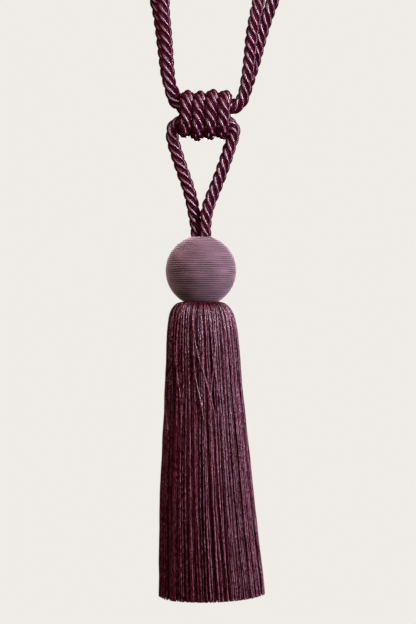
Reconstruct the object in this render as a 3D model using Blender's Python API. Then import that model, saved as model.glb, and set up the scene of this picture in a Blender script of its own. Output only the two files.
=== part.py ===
"""Curtain tieback tassel: a twisted tie rope wound into a coil knot, a hanging loop of the same
rope, a thread-wound ball and a skirt of yarn locks.

Run with: blender --background --python part.py
Metres, +Z up, front towards -Y. The origin is the middle of the rope at the crown of the left
hanging loop. Route and profile tables are in millimetres, as their column names say.
"""

import math

import bmesh
import bpy
import numpy as np
from mathutils import Vector

MM = 0.001
GAP = 0.3 * MM  # clearance between pieces that touch on the real tassel

# Rope: four satin strands laid to the left, as in the letter S.
ROPE_DIAMETER = 8.8 * MM
ROPE_STRANDS = 4
ROPE_LAY = 28.0 * MM  # length in which a strand goes once round
ROPE_STEP = 2.55 * MM  # distance between two cross-sections
ROPE_GROOVE = 0.70  # radius at the groove between two strands, over the radius at a strand

# Coil knot: the tie rope wound round two parallel stretches of rope, one above the other.
CORE_DIAMETER = 8.25 * MM  # the rope is squeezed a little here
CORE_SPACING = 8.7 * MM
COIL_MIDDLE = Vector((0.0, 0.0, -129.55 * MM))  # height of the middle of the coil
COIL_START_X = 19.4 * MM  # where the winding would cross the top, one turn before the first
COIL_PITCH = 8.8 * MM
COIL_LEAN = 1.15 * MM  # the turns advance at the back more than at the front
COIL_FIRST_TURN = 0.25  # turns are counted from the top, first to the back and then down
COIL_LAST_TURN = 4.04
COIL_POINTS_PER_TURN = 16
COIL_RADIUS = CORE_DIAMETER + 0.35 * MM  # from the middle of a core rope to the middle of a turn

# Ball: a turned bead wound with thread.
BALL_DIAMETER = 50.0 * MM
BALL_CENTRE = Vector((36.3 * MM, 0.0, -239.3 * MM))
BALL_SIDES = 32
BALL_RINGS = 12
SOCKET_DIAMETER = 16.0 * MM  # the two rope ends go in here side by side
SOCKET_DEPTH = 8.0 * MM

# Skirt: yarn locks that are one with the dome of the tassel's head.
SEAT_RADIUS = BALL_DIAMETER / 2 + GAP  # the hollow in the dome that the ball sits in
SKIRT_SECTORS = 54
SKIRT_SEED = 11
LOCK_FILL = 0.80  # part of its sector that a lock takes up
LOCK_WANDER = 0.07  # how far a lock strays sideways, over its sector

# Each row: x, y, z and the rope's diameter there, all in mm.
LEFT_ARM = (
    (34.4, 0.0, -125.2, 8.25),
    (29.0, 0.0, -125.2, 8.25),
    (24.6, 0.4, -124.7, 8.25),
    (21.0, 0.7, -122.9, 8.6),
    (17.9, 0.3, -119.3, 8.8),
    (15.7, -0.8, -113.6, 8.8),
    (13.4, -3.4, -99.3, 8.8),
    (12.2, -4.2, -82.4, 8.8),
    (10.8, -4.1, -65.5, 8.8),
    (10.1, -3.5, -48.6, 8.8),
    (13.9, -1.4, -33.1, 8.8),
    (16.3, 0.0, -18.3, 8.8),
    (11.8, 0.0, -5.7, 8.8),
    (0.0, 0.0, 0.0, 8.8),
    (-11.4, 0.0, -4.0, 8.8),
    (-14.6, 0.2, -13.0, 8.8),
    (-8.0, 0.9, -27.0, 8.8),
    (1.5, 2.8, -40.8, 8.8),
    (6.5, 4.8, -57.0, 8.8),
    (8.9, 4.9, -73.9, 8.8),
    (11.0, 5.4, -90.8, 8.8),
    (13.4, 7.8, -106.5, 8.8),
    (16.6, 9.7, -117.0, 8.8),
    (19.9, 9.7, -123.6, 8.4),
)
RIGHT_ARM = (
    (57.9, 8.5, -120.9, 8.5),
    (61.6, 9.9, -121.0, 8.8),
    (65.0, 10.0, -118.0, 8.8),
    (67.4, 9.6, -112.6, 8.8),
    (69.5, 8.4, -106.0, 8.8),
    (72.2, 6.5, -97.5, 8.8),
    (76.4, 4.7, -82.4, 8.8),
    (81.1, 3.3, -65.5, 8.8),
    (87.2, 1.2, -48.6, 8.8),
    (94.5, 0.0, -33.1, 8.8),
    (104.0, 0.0, -20.0, 8.8),
    (108.0, 0.0, -9.5, 8.8),
    (103.0, 0.0, -1.8, 8.8),
    (93.0, 0.0, 0.0, 8.8),
    (82.8, 0.0, -5.0, 8.8),
    (77.4, 0.0, -15.0, 8.8),
    (78.2, 0.0, -28.0, 8.8),
    (78.2, -0.6, -40.8, 8.8),
    (75.4, -2.4, -56.5, 8.8),
    (72.0, -3.7, -75.0, 8.8),
    (70.4, -3.9, -92.0, 8.8),
    (68.4, -2.3, -107.0, 8.8),
    (66.9, -1.2, -114.5, 8.8),
    (63.9, -0.3, -121.2, 8.8),
    (59.2, 0.0, -124.8, 8.5),
    (52.0, 0.0, -125.2, 8.25),
    (40.0, 0.0, -125.2, 8.25),
)
HANGING_LOOP = (
    (33.0, 2.2, -223.0, 7.4),
    (33.0, 2.3, -212.5, 7.6),
    (32.2, 2.7, -203.5, 8.3),
    (30.7, 1.3, -194.3, 8.8),
    (28.2, 0.0, -183.7, 8.8),
    (24.0, 0.0, -171.1, 8.8),
    (18.7, 0.0, -155.2, 8.8),
    (16.6, -0.2, -147.5, 8.8),
    (16.2, -0.5, -141.0, 8.8),
    (18.4, -0.2, -136.1, 8.6),
    (23.6, 0.0, -134.0, 8.25),
    (31.0, 0.0, -133.9, 8.25),
    (42.0, 0.0, -133.9, 8.25),
    (53.0, 0.2, -134.0, 8.25),
    (57.8, 1.2, -136.2, 8.6),
    (60.1, 2.2, -141.0, 8.8),
    (59.3, 2.0, -147.0, 8.8),
    (56.2, 0.8, -155.0, 8.8),
    (51.0, 0.0, -169.0, 8.8),
    (45.0, 0.0, -184.4, 8.8),
    (41.4, -1.1, -194.3, 8.8),
    (39.7, -2.7, -203.5, 8.3),
    (39.6, -2.3, -212.5, 7.6),
    (39.6, -2.2, -223.0, 7.4),
)

# Each row: drop below the ball's centre, radius and sideways lean of the skirt's outline, in mm.
SKIRT_OUTLINE = (
    (22.0, 13.0, 0.1),
    (23.3, 17.6, 0.1),
    (25.8, 20.4, 0.1),
    (28.6, 22.2, 0.2),
    (37.0, 24.6, 0.4),
    (54.0, 26.4, 0.8),
    (99.0, 28.9, 2.4),
    (160.0, 33.3, 4.5),
    (229.0, 37.5, 8.0),
)
DOME_DROPS = (23.3, 25.8, 28.6)  # the outline's rows, in mm, that lie on the dome above the locks
LOCK_DROPS = (37.0, 82.0, 148.0, 228.0)  # where a lock has its cross-sections, in mm
LOCK_CUT_SLANT = 0.03  # the skirt is trimmed a little shorter on the right
LOCK_TRIM = (-1.2, 0.4)  # how far a lock's end lies past the trimmed edge, in mm
LOCK_ROOT_INSET = 0.22 * MM
# Each row: radius of the ring's inner edge over the outline's, and the sectors from lock to lock.
LOCK_RINGS = ((0.86, 1), (0.71, 1), (0.52, 2), (0.33, 2), (0.14, 3))

COLOURS = {
    "tie_rope": (0.105, 0.022, 0.048),
    "hanging_loop": (0.105, 0.022, 0.048),
    "ball": (0.165, 0.085, 0.115),
    "skirt": (0.120, 0.030, 0.060),
}
ROUGHNESS = {"tie_rope": 0.38, "hanging_loop": 0.38, "ball": 0.55, "skirt": 0.45}


def clear_scene():
    for found in list(bpy.data.objects):
        bpy.data.objects.remove(found, do_unlink=True)


def give_material(piece):
    """A satin yarn material of the piece's own colour."""
    material = bpy.data.materials.new(piece.name)
    material.use_nodes = True
    shader = material.node_tree.nodes["Principled BSDF"]
    shader.inputs["Base Color"].default_value = (*COLOURS[piece.name], 1.0)
    shader.inputs["Roughness"].default_value = ROUGHNESS[piece.name]
    shader.inputs["Metallic"].default_value = 0.0
    piece.data.materials.append(material)


def spline_through(rows, step):
    """Points about a step apart on the natural cubic spline through the rows, column by column."""
    rows = np.array(rows, dtype=float)
    chord = np.linalg.norm(np.diff(rows[:, :3], axis=0), axis=1)
    knots = np.concatenate([[0.0], np.cumsum(chord)])
    width = np.diff(knots)
    count = len(rows)
    system = np.eye(count)
    target = np.zeros_like(rows)
    for i in range(1, count - 1):
        system[i, i - 1 : i + 2] = width[i - 1], 2 * (width[i - 1] + width[i]), width[i]
        rise = (rows[i + 1] - rows[i]) / width[i] - (rows[i] - rows[i - 1]) / width[i - 1]
        target[i] = 6 * rise
    bend = np.linalg.solve(system, target)

    def at(place):
        i = np.clip(np.searchsorted(knots, place, side="right") - 1, 0, count - 2)
        h = width[i][:, None]
        b = (place - knots[i])[:, None] / h
        a = 1 - b
        curve = a * rows[i] + b * rows[i + 1]
        return curve + ((a**3 - a) * bend[i] + (b**3 - b) * bend[i + 1]) * h * h / 6

    fine = at(np.linspace(0.0, knots[-1], 40 * count))
    run = np.concatenate([[0.0], np.cumsum(np.linalg.norm(np.diff(fine[:, :3], axis=0), axis=1))])
    stations = np.linspace(0.0, run[-1], max(2, round(run[-1] / step)) + 1)
    return np.column_stack([np.interp(stations, run, column) for column in fine.T]), run[-1]


def coil_point(turn):
    """Middle of the rope in the coil, and its diameter, after so many turns from the top."""
    straight = CORE_SPACING
    half_circle = math.pi * COIL_RADIUS
    way = (turn % 1.0) * 2 * (straight + half_circle)
    side = 1.0 if turn % 1.0 < 0.5 else -1.0  # the back, then the front
    along = way % (straight + half_circle)
    if along < half_circle / 2:
        angle = along / COIL_RADIUS
        up = CORE_SPACING / 2 + COIL_RADIUS * math.cos(angle)
        out = COIL_RADIUS * math.sin(angle)
    elif along < half_circle / 2 + straight:
        up = CORE_SPACING / 2 - (along - half_circle / 2)
        out = COIL_RADIUS
    else:
        angle = (along - straight) / COIL_RADIUS
        up = -CORE_SPACING / 2 + COIL_RADIUS * math.cos(angle)
        out = COIL_RADIUS * math.sin(angle)
    x = COIL_START_X + COIL_PITCH * turn - COIL_LEAN * math.cos(2 * math.pi * turn)
    return x, side * out, COIL_MIDDLE.z + side * up, CORE_DIAMETER


def coil_rows():
    count = round((COIL_LAST_TURN - COIL_FIRST_TURN) * COIL_POINTS_PER_TURN)
    turns = np.linspace(COIL_FIRST_TURN, COIL_LAST_TURN, count + 1)
    return [coil_point(turn) for turn in turns]


def in_metres(rows):
    return [tuple(value * MM for value in row) for row in rows]


def strand_section():
    """Guide curve: the rope's lobed cross-section, one lobe for each strand."""
    data = bpy.data.curves.new("strand_section", "CURVE")
    corners = 2 * ROPE_STRANDS
    spline = data.splines.new("POLY")
    spline.points.add(corners - 1)
    spline.use_cyclic_u = True
    for i, point in enumerate(spline.points):
        angle = -2 * math.pi * i / corners
        radius = ROPE_DIAMETER / 2 * (ROPE_GROOVE if i % 2 else 1.0)
        point.co = (radius * math.cos(angle), radius * math.sin(angle), 0.0, 1.0)
    guide = bpy.data.objects.new("strand_section", data)
    guide.hide_render = True
    guide.display_type = "WIRE"
    bpy.context.collection.objects.link(guide)
    return guide


def rope(name, rows, section):
    """A rope along the rows' spline, its section turned by the lay as it goes."""
    points, length = spline_through(rows, ROPE_STEP)
    data = bpy.data.curves.new(name, "CURVE")
    data.dimensions = "3D"
    data.twist_mode = "MINIMUM"
    data.bevel_mode = "OBJECT"
    data.bevel_object = section
    data.use_fill_caps = True
    spline = data.splines.new("POLY")
    spline.points.add(len(points) - 1)
    for i, point in enumerate(spline.points):
        x, y, z, diameter = points[i]
        point.co = (x, y, z, 1.0)
        point.radius = diameter / ROPE_DIAMETER
        point.tilt = -2 * math.pi * length * i / (len(points) - 1) / ROPE_LAY
    piece = bpy.data.objects.new(name, data)
    bpy.context.collection.objects.link(piece)
    print(f"{name}: {length / MM:.0f} mm of rope, {len(points)} sections")
    return piece


def tie_rope(section):
    rows = in_metres(LEFT_ARM) + coil_rows() + in_metres(RIGHT_ARM)
    return rope("tie_rope", rows, section)


def hanging_loop(section):
    return rope("hanging_loop", in_metres(HANGING_LOOP), section)


def turned(name, profile, sides):
    """A solid turned about Z from a profile that runs down its outer side, from axis to axis."""
    data = bpy.data.meshes.new(name)
    edges = [(i, i + 1) for i in range(len(profile) - 1)]
    data.from_pydata([(x, 0.0, z) for x, z in profile], edges, [])
    piece = bpy.data.objects.new(name, data)
    bpy.context.collection.objects.link(piece)
    screw = piece.modifiers.new("turn", "SCREW")
    screw.steps = sides
    screw.render_steps = sides
    screw.use_merge_vertices = True
    screw.merge_threshold = 0.00001
    screw.use_smooth_shade = True
    return piece


def ball():
    radius = BALL_DIAMETER / 2
    mouth = math.asin(SOCKET_DIAMETER / BALL_DIAMETER)
    rim = radius * math.cos(mouth)
    profile = [(0.0, rim - SOCKET_DEPTH), (SOCKET_DIAMETER / 2, rim - SOCKET_DEPTH)]
    for i in range(BALL_RINGS + 1):
        angle = mouth + (math.pi - mouth) * i / BALL_RINGS
        profile.append((max(0.0, radius * math.sin(angle)), radius * math.cos(angle)))
    piece = turned("ball", profile, BALL_SIDES)
    piece.location = BALL_CENTRE
    return piece


def outline_at(drop):
    """Radius and lean of the skirt's outline, in metres, at a drop in mm."""
    drops, radii, leans = np.array(SKIRT_OUTLINE).T
    return np.interp(drop, drops, radii) * MM, np.interp(drop, drops, leans) * MM


def skirt_point(angle, radius, lean, drop):
    x = BALL_CENTRE.x + lean + radius * math.cos(angle)
    return Vector((x, radius * math.sin(angle), BALL_CENTRE.z - drop * MM))


def ring_of(bm, radii, lean, drop):
    """One closed ring of vertices, at the radius that each sector's corner has."""
    step = 2 * math.pi / len(radii)
    return [bm.verts.new(skirt_point(i * step, r, lean, drop)) for i, r in enumerate(radii)]


def band(bm, upper, lower):
    """Faces between two rings, facing out when the second lies below the first."""
    faces = []
    for i in range(len(upper)):
        j = (i + 1) % len(upper)
        faces.append(bm.faces.new((upper[i], lower[i], lower[j], upper[j])))
    return faces


def seat(bm):
    """The hollow that the ball sits in, from its middle out to its lip, and the lip's ring."""
    lip_drop, lip_radius, _ = SKIRT_OUTLINE[0]
    depth = SEAT_RADIUS / MM
    half_way = math.asin(lip_radius / depth) / 2
    bottom = bm.verts.new(skirt_point(0.0, 0.0, 0.0, depth))
    radii = [SEAT_RADIUS * math.sin(half_way)] * SKIRT_SECTORS
    middle = ring_of(bm, radii, 0.0, depth * math.cos(half_way))
    lip = ring_of(bm, [lip_radius * MM] * SKIRT_SECTORS, 0.0, lip_drop)
    for i in range(SKIRT_SECTORS):
        bm.faces.new((bottom, middle[i], middle[(i + 1) % SKIRT_SECTORS]))
    band(bm, middle, lip)
    return lip


def dome(bm):
    """The head: a seat for the ball, a rounded shoulder and a flat underside.

    It returns the underside's faces, ring by ring, from which the locks are drawn.
    """
    ring = seat(bm)
    for drop in DOME_DROPS:
        radius, lean = outline_at(drop)
        lower = ring_of(bm, [radius] * SKIRT_SECTORS, lean, drop)
        band(bm, ring, lower)
        ring = lower
    cells = []
    for inner, _ in LOCK_RINGS:
        lower = ring_of(bm, [radius * inner] * SKIRT_SECTORS, lean, drop)
        cells.append(band(bm, ring, lower))
        ring = lower
    centre = bm.verts.new(skirt_point(0.0, 0.0, lean, drop))
    for i in range(SKIRT_SECTORS):
        bm.faces.new((centre, ring[(i + 1) % SKIRT_SECTORS], ring[i]))
    return cells


def lock_ends(angle, width, outer, inner, rng):
    """Where a lock's cross-sections lie: for each, its angle, half its width, its two radii,
    its lean and its drop. The lock strays a little, and thins and thickens, on its way down."""
    stray = rng.uniform(-1.0, 1.0)
    trim = rng.uniform(*LOCK_TRIM)
    ends = []
    for drop in LOCK_DROPS:
        radius, lean = outline_at(drop)
        if drop == LOCK_DROPS[-1]:
            drop += trim - LOCK_CUT_SLANT * radius / MM * math.cos(angle)
        stray = 0.5 * stray + 0.5 * rng.uniform(-1.0, 1.0)
        depth = (outer - inner) * radius
        far = radius * outer - rng.uniform(0.0, 0.12) * depth
        near = radius * inner + 0.12 * depth
        turn = angle + stray * LOCK_WANDER * width
        ends.append((turn, width * LOCK_FILL / 2, far, near, lean, drop))
    return ends


def move_end(face, end):
    """Moves the four corners of a lock's end face to their places, keeping their order."""
    angle, half, far, near, lean, drop = end
    middle = face.calc_center_median()
    outwards = Vector((math.cos(angle), math.sin(angle), 0.0))
    sideways = Vector((-math.sin(angle), math.cos(angle), 0.0))
    for vert in face.verts:
        away = vert.co - middle
        radius = far if away.dot(outwards) > 0 else near
        turn = half if away.dot(sideways) > 0 else -half
        vert.co = skirt_point(angle + turn, radius, lean, drop)


def draw_locks(bm, cells, rng):
    """Draws the chosen cells down into four-sided locks with blunt ends, and counts them."""
    sector = 2 * math.pi / SKIRT_SECTORS
    outer = 1.0
    count = 0
    for (inner, every), faces in zip(LOCK_RINGS, cells):
        for i in range(0, SKIRT_SECTORS, every):
            face = faces[i]
            bmesh.ops.inset_individual(bm, faces=[face], thickness=LOCK_ROOT_INSET)
            for end in lock_ends((i + 0.5) * sector, every * sector, outer, inner, rng):
                face = bmesh.ops.extrude_discrete_faces(bm, faces=[face])["faces"][0]
                move_end(face, end)
            count += 1
        outer = inner
    return count


def skirt():
    bm = bmesh.new()
    cells = dome(bm)
    locks = draw_locks(bm, cells, np.random.default_rng(SKIRT_SEED))
    data = bpy.data.meshes.new("skirt")
    bm.to_mesh(data)
    bm.free()
    piece = bpy.data.objects.new("skirt", data)
    bpy.context.collection.objects.link(piece)
    print(f"skirt: {locks} locks")
    return piece


def main():
    clear_scene()
    section = strand_section()
    pieces = [tie_rope(section), hanging_loop(section), ball(), skirt()]
    for piece in pieces:
        give_material(piece)


main()
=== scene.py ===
# %% [markdown]
# # A curtain tieback tassel
#
# A tieback is a length of twisted rope that holds a curtain open, and this one carries a tassel:
# the rope is wound four times round a short hanging loop, the loop goes into a ball wound with
# thread, and a long skirt of yarn hangs under the ball. This lesson dresses the plain solids of
# the part with that rope, thread and yarn. Everything is in metres, with +Z up.

# %% The fixed frame
import math

import bpy
import numpy as np
from mathutils import Matrix, Vector, noise


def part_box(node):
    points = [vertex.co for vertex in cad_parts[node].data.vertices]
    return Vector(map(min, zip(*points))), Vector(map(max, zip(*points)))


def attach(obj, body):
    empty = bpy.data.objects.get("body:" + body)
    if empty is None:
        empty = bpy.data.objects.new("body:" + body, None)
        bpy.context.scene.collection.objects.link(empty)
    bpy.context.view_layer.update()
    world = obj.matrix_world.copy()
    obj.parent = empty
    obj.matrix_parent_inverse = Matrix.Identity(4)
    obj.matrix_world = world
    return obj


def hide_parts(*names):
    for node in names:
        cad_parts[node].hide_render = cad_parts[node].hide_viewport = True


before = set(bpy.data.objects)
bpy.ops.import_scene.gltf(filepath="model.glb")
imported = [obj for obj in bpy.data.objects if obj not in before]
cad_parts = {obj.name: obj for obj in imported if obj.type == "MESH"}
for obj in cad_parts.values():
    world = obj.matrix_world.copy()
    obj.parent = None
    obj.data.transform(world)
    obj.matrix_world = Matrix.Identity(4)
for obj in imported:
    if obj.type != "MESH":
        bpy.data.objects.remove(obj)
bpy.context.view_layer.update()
MM = 0.001
print("solids:", ", ".join(sorted(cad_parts)))

# %% [markdown]
# ## The camera
#
# The tassel is looked at straight from the front with a long lens, so that it keeps its
# proportions. A photographer would measure the height that the frame has to take in and step back
# with a portrait lens until it fits, and the same two numbers give the lens here. The camera comes
# first because the ropes are judged against what it sees.

# %% The camera
FRAME_HEIGHT = 439.4 * MM  # what the upright picture takes in at the tassel
VIEW_DISTANCE = 1350.0 * MM
VIEW_CENTRE = Vector((41.3 * MM, 0.0, -268.3 * MM))
SENSOR = 36.0  # long side of the sensor, in mm

camera_data = bpy.data.cameras.new("camera")
camera_data.sensor_width = SENSOR
camera_data.lens = SENSOR * VIEW_DISTANCE / FRAME_HEIGHT
camera = bpy.data.objects.new("camera", camera_data)
bpy.context.collection.objects.link(camera)
camera.location = VIEW_CENTRE - Vector((0.0, VIEW_DISTANCE, 0.0))
camera.rotation_euler = (math.pi / 2, 0.0, 0.0)
bpy.context.scene.camera = camera
print(f"lens {camera_data.lens:.1f} mm")

# %% [markdown]
# ## A helper for nodes, and one for colours
#
# A material in Blender is a small network of nodes. One function is enough to make any of them: it
# adds the node, gives it its settings, and fills each socket with a value or with a link. Colours
# are written as on paint charts, as sRGB hex values, and one function turns them into the linear
# light that Blender calculates with.

# %% Nodes and colours
MIX_FACTOR, MIX_A, MIX_B, MIX_RESULT = 0, 6, 7, 2  # the colour sockets of Blender's Mix node


def linear(hex_colour):
    """An sRGB hex colour, such as #803040, as linear light with an alpha of one."""
    channels = [int(hex_colour[i : i + 2], 16) / 255 for i in (1, 3, 5)]
    return *((c / 12.92 if c <= 0.04045 else ((c + 0.055) / 1.055) ** 2.4) for c in channels), 1.0


def add_node(tree, kind, sockets=None, **settings):
    """Adds a node with its settings; sockets holds a value or an output to link for each input."""
    made = tree.nodes.new(kind)
    for name, value in settings.items():
        setattr(made, name, value)
    for socket, value in (sockets or {}).items():
        if isinstance(value, bpy.types.NodeSocket):
            tree.links.new(value, made.inputs[socket])
        else:
            made.inputs[socket].default_value = value
    return made


def new_material(name):
    """An empty node material and its tree."""
    material = bpy.data.materials.new(name)
    material.use_nodes = True
    material.node_tree.nodes.clear()
    return material, material.node_tree


print("white in linear light:", [round(value, 3) for value in linear("#ffffff")])

# %% [markdown]
# ## The ropes' route
#
# The tie rope is one length. Its two ends are sewn down inside the knot; from there it goes up the
# left arm, over a loop, down again, four times round the knot, and does the same on the right. The
# hanging loop is a short second length: up from the ball, through the knot and back down. A rope
# has a fixed length, so its middle line comes first: a few listed points, a loop for the
# turns of the knot, and one smooth spline through them.

# %% Sizes of the rope and the knot
ROPE_DIAMETER = 8.8 * MM
CORE_DIAMETER = 8.25 * MM  # the rope is squeezed a little inside the knot
TURN_DIAMETER = 9.2 * MM  # and its strands open a little where it is bent round the knot
CORE_SPACING = 8.7 * MM  # between the two stretches inside the knot, one above the other
COIL_RADIUS = CORE_DIAMETER + 0.35 * MM  # of the turns' bends over and under the two stretches
COIL_MIDDLE = -129.55 * MM  # height of the knot's middle
COIL_START_X = 19.4 * MM
COIL_PITCH = 8.8 * MM
COIL_LEAN = 1.15 * MM  # how far a turn leans left over the top and right under the bottom
COIL_FIRST_TURN = 0.42
COIL_LAST_TURN = 4.04
COIL_POINTS_PER_TURN = 16
# The turns were pulled tight by hand, so they don't all lie equally high.
TOP_RISES = (0.0, 0.0, -0.5, 0.6, 0.0)  # in mm, how much higher each turn lies over the top
BOTTOM_RISES = (1.4, -1.0, -0.2, 0.2, 0.0)  # and how much higher under the bottom
print(f"{COIL_LAST_TURN - COIL_FIRST_TURN:.1f} turns, {COIL_PITCH / MM:.1f} mm apart")

# %% The arms and the hanging loop
# Each row: x, y, z and the rope's diameter there, in mm.
LEFT_ARM = (
    (34.4, 0.0, -125.2, 8.25),
    (29.0, 0.0, -124.9, 8.25),
    (24.6, 0.4, -124.1, 8.25),
    (21.0, 0.7, -122.5, 8.6),
    (17.8, 0.3, -119.3, 8.8),
    (15.6, -0.8, -113.6, 8.8),
    (13.4, -3.4, -99.3, 8.8),
    (12.2, -4.2, -82.4, 8.8),
    (10.8, -4.1, -65.5, 8.8),
    (10.1, -3.5, -48.6, 8.8),
    (13.9, -1.4, -33.1, 8.8),
    (16.3, 0.0, -18.3, 8.8),
    (11.8, 0.0, -5.7, 8.8),
    (0.0, 0.0, 0.0, 8.8),
    (-11.4, 0.0, -4.0, 8.8),
    (-14.6, 0.2, -13.0, 8.8),
    (-8.0, 0.9, -27.0, 8.8),
    (1.5, 2.8, -40.8, 8.8),
    (6.5, 4.8, -57.0, 8.8),
    (8.9, 4.9, -73.9, 8.8),
    (11.0, 5.4, -90.8, 8.8),
    (13.2, 7.8, -104.0, 8.8),
    (16.4, 10.0, -112.0, 8.8),
    (20.8, 11.2, -118.6, 8.8),
    (24.4, 11.2, -126.5, 8.8),
)
RIGHT_ARM = (
    (57.9, 8.5, -120.9, 8.5),
    (61.6, 9.9, -121.0, 8.8),
    (65.0, 10.0, -118.0, 8.8),
    (67.4, 9.6, -112.6, 8.8),
    (69.5, 8.4, -106.0, 8.8),
    (72.2, 6.5, -97.5, 8.8),
    (76.4, 4.7, -82.4, 8.8),
    (81.1, 3.3, -65.5, 8.8),
    (87.2, 1.2, -48.6, 8.8),
    (94.5, 0.0, -33.1, 8.8),
    (104.0, 0.0, -20.0, 8.8),
    (108.0, 0.0, -9.5, 8.8),
    (103.0, 0.0, -1.8, 8.8),
    (93.0, 0.0, 0.0, 8.8),
    (82.8, 0.0, -5.0, 8.8),
    (77.4, 0.0, -15.0, 8.8),
    (78.2, 0.0, -28.0, 8.8),
    (78.2, -0.6, -40.8, 8.8),
    (75.4, -2.4, -56.5, 8.8),
    (72.0, -3.7, -75.0, 8.8),
    (70.4, -3.9, -92.0, 8.8),
    (68.4, -2.3, -107.0, 8.8),
    (66.9, -1.2, -114.5, 8.8),
    (63.9, -0.3, -121.2, 8.8),
    (59.2, 0.0, -124.8, 8.5),
    (52.0, 0.0, -125.2, 8.25),
    (40.0, 0.0, -125.2, 8.25),
)
HANGING_LOOP = (
    (33.0, 2.2, -223.0, 7.4),
    (33.0, 2.3, -212.5, 7.6),
    (32.2, 2.7, -203.5, 8.3),
    (30.7, 1.3, -194.3, 8.8),
    (28.2, 0.0, -183.7, 8.8),
    (24.0, 0.0, -171.1, 8.8),
    (18.7, 0.0, -155.2, 8.8),
    (16.6, -0.2, -147.5, 8.8),
    (16.2, -0.5, -141.0, 8.8),
    (18.4, -0.2, -136.1, 8.6),
    (23.6, 0.0, -134.0, 8.25),
    (31.0, 0.0, -133.9, 8.25),
    (42.0, 0.0, -133.9, 8.25),
    (53.0, 0.2, -134.0, 8.25),
    (57.8, 1.2, -136.2, 8.6),
    (59.6, 2.2, -141.0, 8.8),
    (58.2, 2.0, -147.0, 8.8),
    (55.6, 0.8, -155.0, 8.8),
    (51.0, 0.0, -169.0, 8.8),
    (45.0, 0.0, -184.4, 8.8),
    (41.4, -1.1, -194.3, 8.8),
    (39.7, -2.7, -203.5, 8.3),
    (39.6, -2.3, -212.5, 7.6),
    (39.6, -2.2, -223.0, 7.4),
)
print("points:", len(LEFT_ARM), len(RIGHT_ARM), len(HANGING_LOOP))

# %% The turns of the knot
def coil_point(turn):
    """Middle of the rope in the knot, and its diameter, after so many turns from the top."""
    half_circle = math.pi * COIL_RADIUS
    way = (turn % 1.0) * 2 * (CORE_SPACING + half_circle)
    side = 1.0 if turn % 1.0 < 0.5 else -1.0  # the back, then the front
    along = way % (CORE_SPACING + half_circle)
    if along < half_circle / 2:
        angle = along / COIL_RADIUS
        up = CORE_SPACING / 2 + COIL_RADIUS * math.cos(angle)
        out = COIL_RADIUS * math.sin(angle)
    elif along < half_circle / 2 + CORE_SPACING:
        up = CORE_SPACING / 2 - (along - half_circle / 2)
        out = COIL_RADIUS
    else:
        angle = (along - CORE_SPACING) / COIL_RADIUS
        up = -CORE_SPACING / 2 + COIL_RADIUS * math.cos(angle)
        out = COIL_RADIUS * math.sin(angle)
    swing = math.cos(2 * math.pi * turn)
    if swing > 0:
        uneven = TOP_RISES[round(turn)] * swing**2
    else:
        uneven = BOTTOM_RISES[int(turn)] * swing**2
    x = COIL_START_X + COIL_PITCH * turn - COIL_LEAN * swing
    return x, side * out, COIL_MIDDLE + side * up + uneven * MM, TURN_DIAMETER


def coil_rows():
    """The points of all the turns, evenly spaced."""
    count = round((COIL_LAST_TURN - COIL_FIRST_TURN) * COIL_POINTS_PER_TURN)
    turns = np.linspace(COIL_FIRST_TURN, COIL_LAST_TURN, count + 1)
    return [coil_point(turn) for turn in turns]


print(f"{len(coil_rows())} points in the turns")

# %% One smooth line for each rope
def in_metres(rows):
    """Rows of millimetres as rows of metres."""
    return [tuple(value * MM for value in row) for row in rows]


def spline_through(rows, step):
    """Points about a step apart on the natural cubic spline through the rows, and its length."""
    rows = np.array(rows, dtype=float)
    chord = np.linalg.norm(np.diff(rows[:, :3], axis=0), axis=1)
    knots = np.concatenate([[0.0], np.cumsum(chord)])
    width = np.diff(knots)
    count = len(rows)
    system = np.eye(count)
    target = np.zeros_like(rows)
    for i in range(1, count - 1):
        system[i, i - 1 : i + 2] = width[i - 1], 2 * (width[i - 1] + width[i]), width[i]
        rise = (rows[i + 1] - rows[i]) / width[i] - (rows[i] - rows[i - 1]) / width[i - 1]
        target[i] = 6 * rise
    bend = np.linalg.solve(system, target)

    def at(place):
        i = np.clip(np.searchsorted(knots, place, side="right") - 1, 0, count - 2)
        h = width[i][:, None]
        b = (place - knots[i])[:, None] / h
        a = 1 - b
        curve = a * rows[i] + b * rows[i + 1]
        return curve + ((a**3 - a) * bend[i] + (b**3 - b) * bend[i + 1]) * h * h / 6

    fine = at(np.linspace(0.0, knots[-1], 40 * count))
    run = np.concatenate([[0.0], np.cumsum(np.linalg.norm(np.diff(fine[:, :3], axis=0), axis=1))])
    stations = np.linspace(0.0, run[-1], max(2, round(run[-1] / step)) + 1)
    return np.column_stack([np.interp(stations, run, column) for column in fine.T]), run[-1]


TIE_ROUTE = in_metres(LEFT_ARM) + coil_rows() + in_metres(RIGHT_ARM)
HANGING_ROUTE = in_metres(HANGING_LOOP)
for label, route in (("tie rope", TIE_ROUTE), ("hanging loop", HANGING_ROUTE)):
    print(f"{label}: {spline_through(route, MM)[1] / MM:.0f} mm long")

# %% [markdown]
# ## The section of a four-strand rope
#
# Four round strands are twisted together, and press each other flat where they meet, so the rope
# seen end on is a four-leaved clover. Each leaf is drawn as an arc of its strand's own circle,
# which keeps the points evenly spread over the strand, also down in the groove. The crowns of the
# soft strands stand a little proud of the thickness that the rope is sold by. A plain circle with
# a bump map would be quicker, but it shows a smooth edge against the light background.

# %% The section of the rope
STRANDS = 4
STRAND_OFFSET = 0.6  # middle of a strand from the middle of the rope, over the rope's radius
STRAND_RADIUS = 0.46  # over the rope's radius
STRAND_POINTS = 20  # enough to keep the pale line along each strand smooth
ARC_HALF = math.pi / STRANDS + math.asin(
    STRAND_OFFSET / STRAND_RADIUS * math.sin(math.pi / STRANDS)
)
STRAND_ARC = 2 * ARC_HALF * STRAND_RADIUS * ROPE_DIAMETER / 2  # the way over a strand's back


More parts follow.
